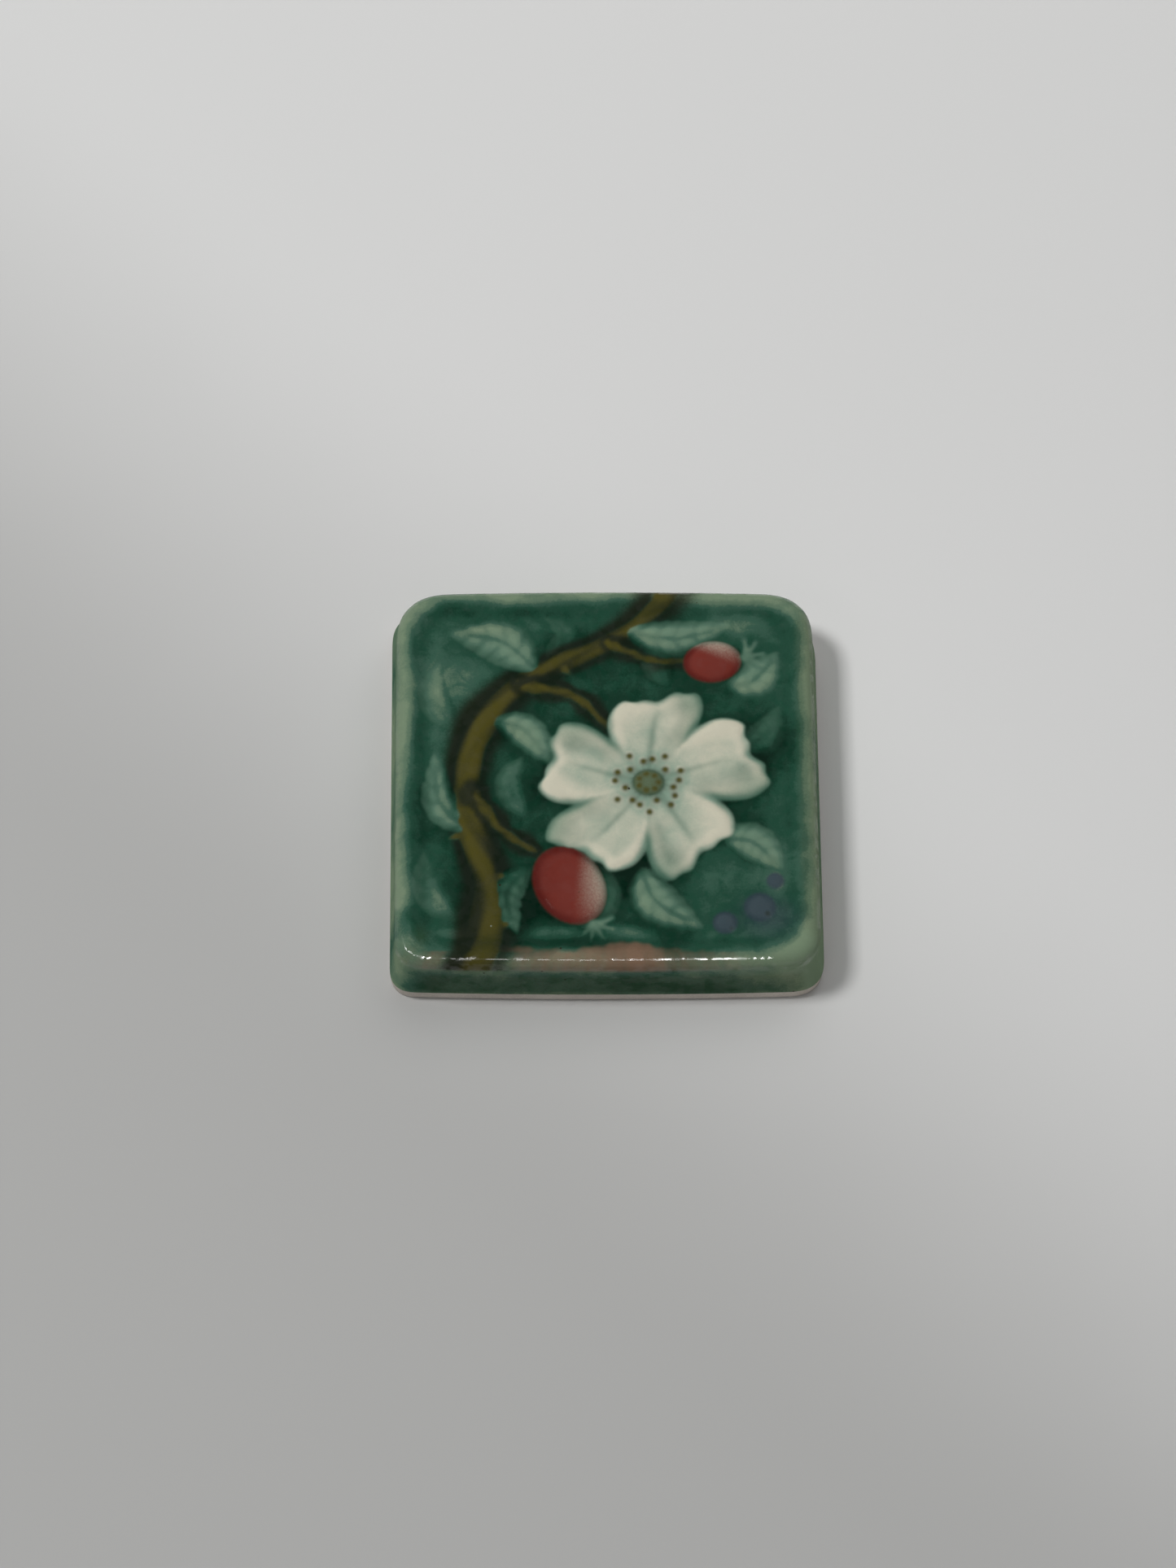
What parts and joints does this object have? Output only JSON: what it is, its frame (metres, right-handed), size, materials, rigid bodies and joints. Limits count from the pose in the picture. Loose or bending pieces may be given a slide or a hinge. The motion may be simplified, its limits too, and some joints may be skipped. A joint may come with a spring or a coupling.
{
  "type": "glazed ceramic relief tile",
  "caption": "Small square ceramic tile with rounded corners, a raised rim, a flat back and a flowering spray in low relief under a glossy green glaze.",
  "frame": {"origin": "centre of the flat back", "axes": "+Z out of the glazed face, +Y to the picture's top, +X to the picture's right"},
  "size_m": [0.051, 0.051, 0.0089],
  "materials": {
    "glaze": "glossy transparent green glaze, pooled dark in the hollows and thin and pale on the rim, over white, red, amber and blue glazes, with bare pinkish clay at the foot and on the back"
  },
  "bodies": {
    "root": {"tile": "glaze"}
  },
  "joints": []
}
